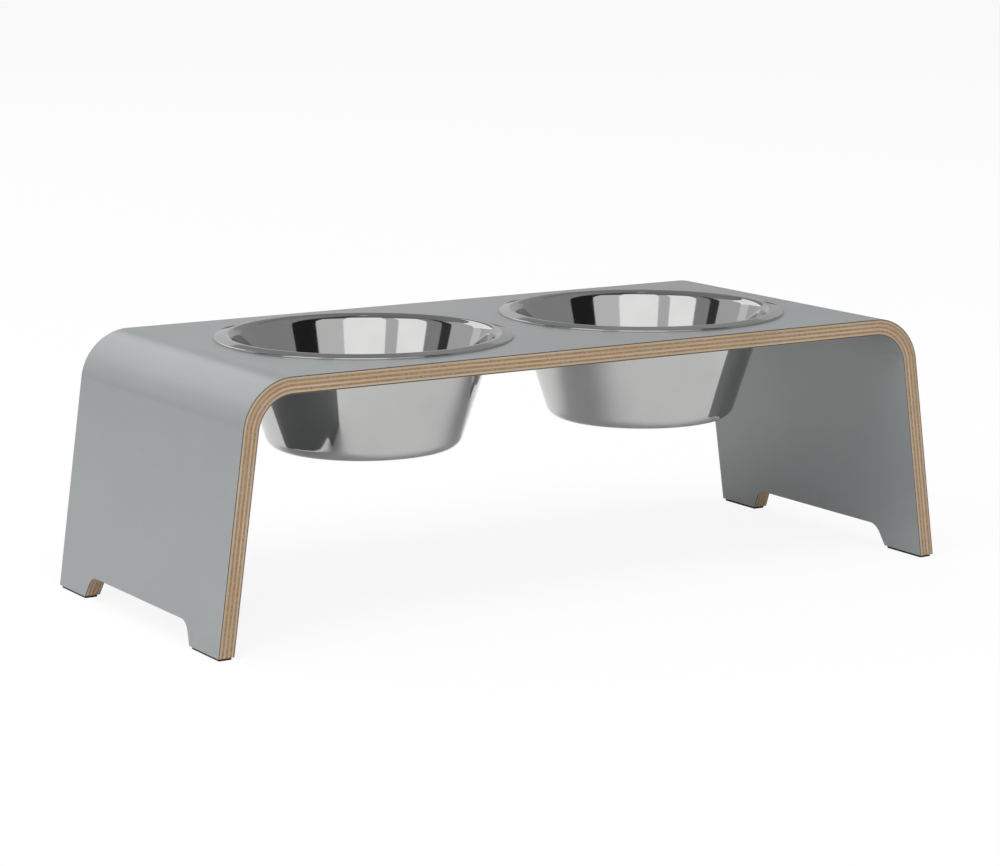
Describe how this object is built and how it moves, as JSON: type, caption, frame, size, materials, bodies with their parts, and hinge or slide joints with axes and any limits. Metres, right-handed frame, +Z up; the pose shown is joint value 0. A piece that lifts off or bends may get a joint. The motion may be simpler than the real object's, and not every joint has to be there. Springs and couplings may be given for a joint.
{
  "type": "elevated pet feeder",
  "caption": "Raised pet feeder: a bench bent from laminated plywood, with splayed legs and round holes that hold lift-out steel bowls.",
  "frame": {"origin": "on the floor, under the middle of the bench", "axes": "+X along the bench, -Y to the front, +Z up"},
  "size_m": [0.6152, 0.259, 0.1922],
  "materials": {
    "grey_laminate": "satin decorative laminate",
    "veneer_long_grain": "clear lacquered edge, grain along the bend",
    "veneer_cross_grain": "clear lacquered edge, end grain",
    "bowl_steel": "mirror polished stainless steel",
    "pad_rubber": "matte anti-slip rubber",
    "pad_adhesive": "clear self-adhesive film"
  },
  "bodies": {
    "bench": {"outer_laminate": "grey_laminate", "veneer_1": "veneer_long_grain", "veneer_2": "veneer_cross_grain", "veneer_3": "veneer_long_grain", "veneer_4": "veneer_cross_grain", "veneer_5": "veneer_long_grain", "veneer_6": "veneer_cross_grain", "veneer_7": "veneer_long_grain", "inner_laminate": "grey_laminate", "front_left_pad": "pad_rubber", "front_right_pad": "pad_rubber", "rear_left_pad": "pad_rubber", "rear_right_pad": "pad_rubber", "front_left_adhesive": "pad_adhesive", "front_right_adhesive": "pad_adhesive", "rear_left_adhesive": "pad_adhesive", "rear_right_adhesive": "pad_adhesive"},
    "left_bowl": {"left_bowl": "bowl_steel"},
    "right_bowl": {"right_bowl": "bowl_steel"}
  },
  "joints": [
    {"name": "left_bowl_lift", "type": "slide", "parent": "bench", "child": "left_bowl", "axis": [0, 0, 1], "range_m": [0, 0.12]},
    {"name": "right_bowl_lift", "type": "slide", "parent": "bench", "child": "right_bowl", "axis": [0, 0, 1], "range_m": [0, 0.12]}
  ]
}
